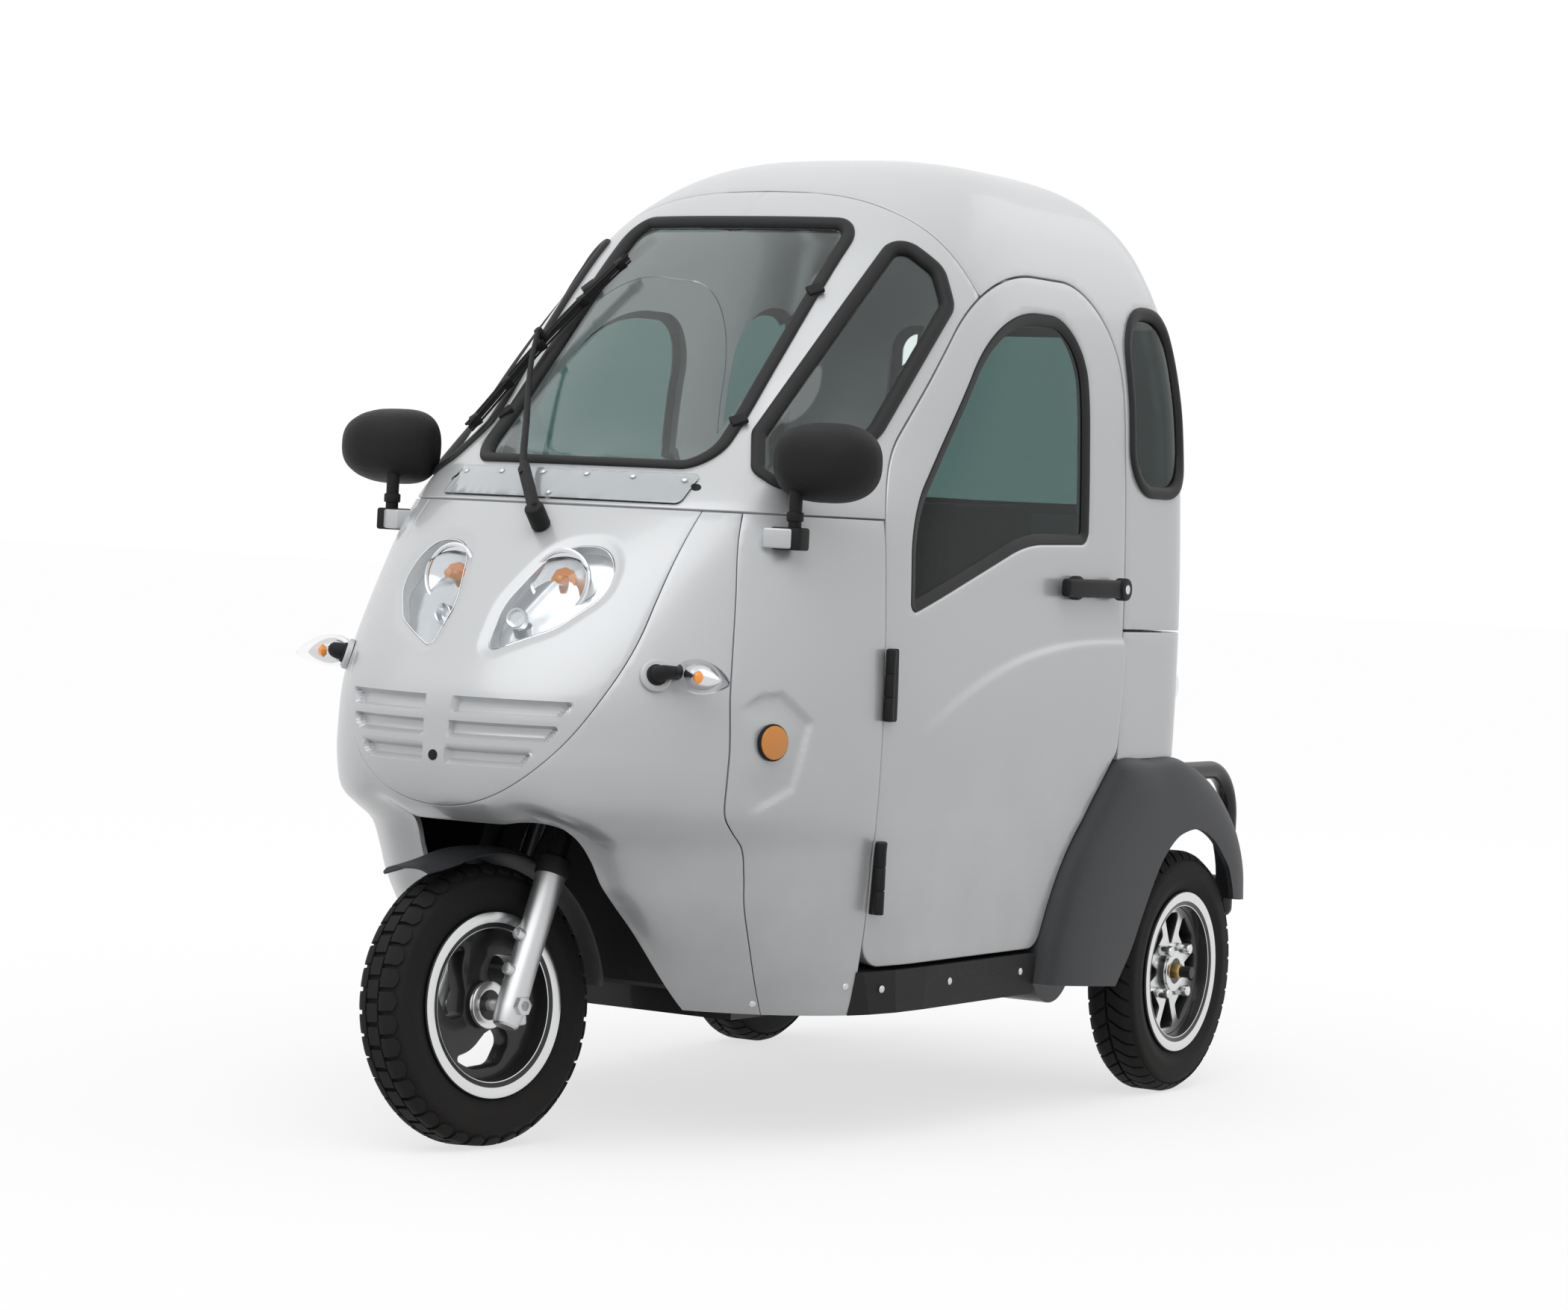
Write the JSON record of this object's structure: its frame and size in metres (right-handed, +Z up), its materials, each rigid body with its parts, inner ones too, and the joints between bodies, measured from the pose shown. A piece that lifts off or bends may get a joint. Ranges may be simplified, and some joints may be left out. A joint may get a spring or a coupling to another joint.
{
  "type": "enclosed electric tricycle",
  "caption": "Small enclosed electric tricycle: steered front wheel under a rounded nose, hollow cabin with hinged side doors, sloped windscreen, and driven rear wheels under black mudguards.",
  "frame": {"origin": "middle of the bounding box on the ground", "axes": "+Z up, +X to the vehicle's left, +Y along its length to the rear, so that it drives towards -Y"},
  "size_m": [0.98, 2.0195, 1.58],
  "materials": {
    "silver_paint": "gloss metallic silver",
    "glass": "green tinted",
    "clear_plastic": "clear polished",
    "rubber_seal": "matte",
    "black_plastic": "fine moulded grain",
    "frame_paint": "satin black",
    "seat_cover": "sewn artificial leather",
    "chrome": "bright",
    "amber_plastic": "ribbed lens",
    "red_plastic": "ribbed lens",
    "battery_case": "moulded",
    "fork_alloy": "silver lacquer",
    "tyre": "matte rubber",
    "rim_alloy": "black with machined faces"
  },
  "bodies": {
    "body": {"chassis_frame": "frame_paint", "floor_pan": "frame_paint", "bulkhead": "black_plastic", "wheel_houses": "black_plastic", "front_cowl": "silver_paint", "front_apron": "silver_paint", "front_panel_left": "silver_paint", "front_panel_right": "silver_paint", "windscreen_frame": "silver_paint", "windscreen": "glass", "windscreen_seal": "rubber_seal", "quarter_glass": "glass", "quarter_seals": "rubber_seal", "roof_shell": "silver_paint", "rear_body": "silver_paint", "rear_glass": "glass", "rear_seals": "rubber_seal", "rear_mudguards": "black_plastic", "sills": "black_plastic", "rear_bumper": "frame_paint", "headlight_bowls": "chrome", "headlight_lenses": "clear_plastic", "indicators": "amber_plastic", "side_reflectors": "amber_plastic", "tail_lamps": "red_plastic", "mirrors": "black_plastic", "wiper": "black_plastic", "vent_plate": "clear_plastic", "dashboard": "black_plastic", "seat_base": "frame_paint", "seat_cushion": "seat_cover", "seat_back": "seat_cover", "battery_pack": "battery_case", "rear_axle": "frame_paint", "leaf_springs": "frame_paint"},
    "steering": {"fork": "frame_paint", "fork_sliders": "fork_alloy", "front_mudguard": "black_plastic", "handlebar": "black_plastic"},
    "front_wheel": {"front_tyre": "tyre", "front_rim": "rim_alloy"},
    "rear_wheel_left": {"rear_tyre_left": "tyre", "rear_rim_left": "rim_alloy"},
    "rear_wheel_right": {"rear_tyre_right": "tyre", "rear_rim_right": "rim_alloy"},
    "left_door": {"door_left": "silver_paint", "door_left_glass": "glass", "door_left_fittings": "black_plastic"},
    "right_door": {"door_right": "silver_paint", "door_right_glass": "glass", "door_right_fittings": "black_plastic"}
  },
  "joints": [
    {"name": "steering", "type": "hinge", "parent": "body", "child": "steering", "pos_m": [0, -0.76548, 0.21126], "axis": [0, 0.4226, 0.9063], "range_deg": [-28, 52]},
    {"name": "front_wheel_spin", "type": "hinge", "parent": "steering", "child": "front_wheel", "pos_m": [-0.0066, -0.79985, 0.21096], "axis": [0.9781, -0.1884, 0.0879], "continuous": true},
    {"name": "rear_wheel_left_spin", "type": "hinge", "parent": "body", "child": "rear_wheel_left", "pos_m": [0.412, 0.67953, 0.21], "axis": [1, 0, 0], "continuous": true},
    {"name": "rear_wheel_right_spin", "type": "hinge", "parent": "body", "child": "rear_wheel_right", "pos_m": [-0.412, 0.67953, 0.21], "axis": [1, 0, 0], "continuous": true},
    {"name": "left_door_hinge", "type": "hinge", "parent": "body", "child": "left_door", "pos_m": [0.437, -0.37498, 0.6], "axis": [0, 0, -1], "range_deg": [0, 70]},
    {"name": "right_door_hinge", "type": "hinge", "parent": "body", "child": "right_door", "pos_m": [-0.437, -0.37498, 0.6], "axis": [0, 0, 1], "range_deg": [0, 70]}
  ]
}
